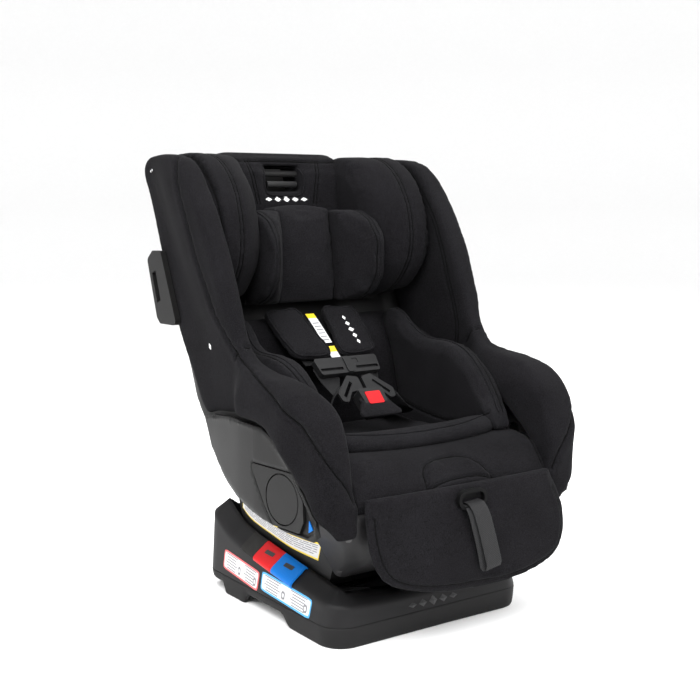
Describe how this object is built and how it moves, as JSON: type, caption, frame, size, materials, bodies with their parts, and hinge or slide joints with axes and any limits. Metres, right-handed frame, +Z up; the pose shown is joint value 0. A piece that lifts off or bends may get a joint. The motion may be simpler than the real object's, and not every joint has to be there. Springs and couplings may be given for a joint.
{
  "type": "convertible child car seat",
  "caption": "Convertible child car seat: reclining bucket shell on a wide base, sliding winged headrest, five-point harness, newborn insert and fold-out drink holders.",
  "frame": {"origin": "on the floor, under the middle of the whole seat's box", "axes": "+Z up, -Y the way the child faces, +X to the right of a person who looks at the seat's front"},
  "size_m": [0.45, 0.541, 0.628],
  "materials": {
    "casing": "fine-grained charcoal moulding",
    "skirt": "matt black moulding",
    "panel": "satin dark grey moulding",
    "shell": "grained black moulding",
    "nylon": "natural nylon",
    "steel": "brushed",
    "rubber": "matt",
    "red": "satin red",
    "blue": "satin blue",
    "fabric": "charcoal knit",
    "insert_fabric": "charcoal soft knit",
    "webbing": "woven polyester webbing",
    "trim": "smooth black plastic"
  },
  "bodies": {
    "base": {"base_housing": "casing", "base_skirt": "skirt", "base_floor_plate": "steel", "base_feet": "rubber", "base_screws": "steel", "recline_rails": "steel", "anchor_cover_left": "casing", "anchor_cover_right": "casing", "rear_facing_markers": "red", "forward_facing_markers": "blue"},
    "shell": {"seat_shell": "shell", "lower_shell": "shell", "front_cover": "panel", "recline_gliders": "nylon", "side_panel_left": "panel", "side_panel_right": "panel", "belt_guides": "blue", "frame_sides": "steel", "frame_cross_tubes": "steel", "side_pod_left": "panel", "side_pod_right": "panel", "wing_cover_left": "fabric", "wing_cover_right": "fabric", "thigh_bolster_left": "fabric", "thigh_bolster_right": "fabric", "back_cushion": "fabric", "seat_cushion": "fabric", "leg_flap": "fabric", "insert_seat": "insert_fabric", "insert_side_left": "insert_fabric", "insert_side_right": "insert_fabric", "crotch_pad": "insert_fabric", "buckle_housing": "trim", "buckle_tongues": "trim", "harness_straps": "webbing", "harness_yoke": "steel", "adjuster_housing": "trim", "adjuster_bezel": "trim", "adjuster_strap": "webbing", "rod_guides": "nylon"},
    "headrest": {"headrest_frame": "trim", "headrest_rods": "steel", "headrest_cushion": "fabric", "headrest_wing_left": "fabric", "headrest_wing_right": "fabric", "head_pillow": "insert_fabric", "pillow_wing_left": "insert_fabric", "pillow_wing_right": "insert_fabric", "shoulder_pad_left": "insert_fabric", "shoulder_pad_right": "insert_fabric"},
    "headrest_grip": {"headrest_grip": "trim"},
    "cup_ring_left": {"cup_ring_left": "panel"},
    "cup_ring_right": {"cup_ring_right": "panel"},
    "cup_floor_left": {"cup_floor_left": "panel"},
    "cup_floor_right": {"cup_floor_right": "panel"},
    "buckle_button": {"buckle_button": "red"},
    "adjuster_button": {"adjuster_button": "trim"},
    "recline_handle": {"recline_handle": "trim", "lock_bar": "steel"},
    "chest_clip": {"chest_clip": "trim"}
  },
  "joints": [
    {"name": "recline", "type": "hinge", "parent": "base", "child": "shell", "pos_m": [0, -0.046, 0.45], "axis": [-1, 0, 0], "range_deg": [-4, 16]},
    {"name": "headrest_height", "type": "slide", "parent": "shell", "child": "headrest", "axis": [0, 0.4321, 0.9018], "range_m": [0, 0.15]},
    {"name": "headrest_release", "type": "slide", "parent": "headrest", "child": "headrest_grip", "axis": [0, 0.4321, 0.9018], "range_m": [0, 0.006], "stiffness_N_per_m": 800},
    {"name": "buckle_press", "type": "slide", "parent": "shell", "child": "buckle_button", "axis": [0, 0.7193, -0.6947], "range_m": [0, 0.003], "stiffness_N_per_m": 1500},
    {"name": "adjuster_press", "type": "slide", "parent": "shell", "child": "adjuster_button", "axis": [0, 1, 0], "range_m": [0, 0.004], "stiffness_N_per_m": 1000},
    {"name": "recline_pull", "type": "slide", "parent": "shell", "child": "recline_handle", "axis": [0, -1, 0], "range_m": [0, 0.008], "stiffness_N_per_m": 900},
    {"name": "chest_clip_slide", "type": "slide", "parent": "shell", "child": "chest_clip", "axis": [0, 0.6947, 0.7193], "range_m": [-0.014, 0.003]},
    {"name": "cup_ring_left_swing", "type": "hinge", "parent": "shell", "child": "cup_ring_left", "pos_m": [-0.21229, -0.14582, 0.2318], "axis": [-0.1033, 0.9947, 0], "range_deg": [0, 85]},
    {"name": "cup_floor_left_swing", "type": "hinge", "parent": "shell", "child": "cup_floor_left", "pos_m": [-0.21229, -0.14582, 0.1687], "axis": [-0.1033, 0.9947, 0], "range_deg": [-85, 0]},
    {"name": "cup_ring_right_swing", "type": "hinge", "parent": "shell", "child": "cup_ring_right", "pos_m": [0.21229, -0.14582, 0.2318], "axis": [-0.1033, -0.9947, 0], "range_deg": [0, 85]},
    {"name": "cup_floor_right_swing", "type": "hinge", "parent": "shell", "child": "cup_floor_right", "pos_m": [0.21229, -0.14582, 0.1687], "axis": [-0.1033, -0.9947, 0], "range_deg": [-85, 0]}
  ],
  "couplings": [
    {"joint": "cup_floor_left_swing", "follows": "cup_ring_left_swing", "ratio": -1},
    {"joint": "cup_floor_right_swing", "follows": "cup_ring_right_swing", "ratio": -1}
  ]
}
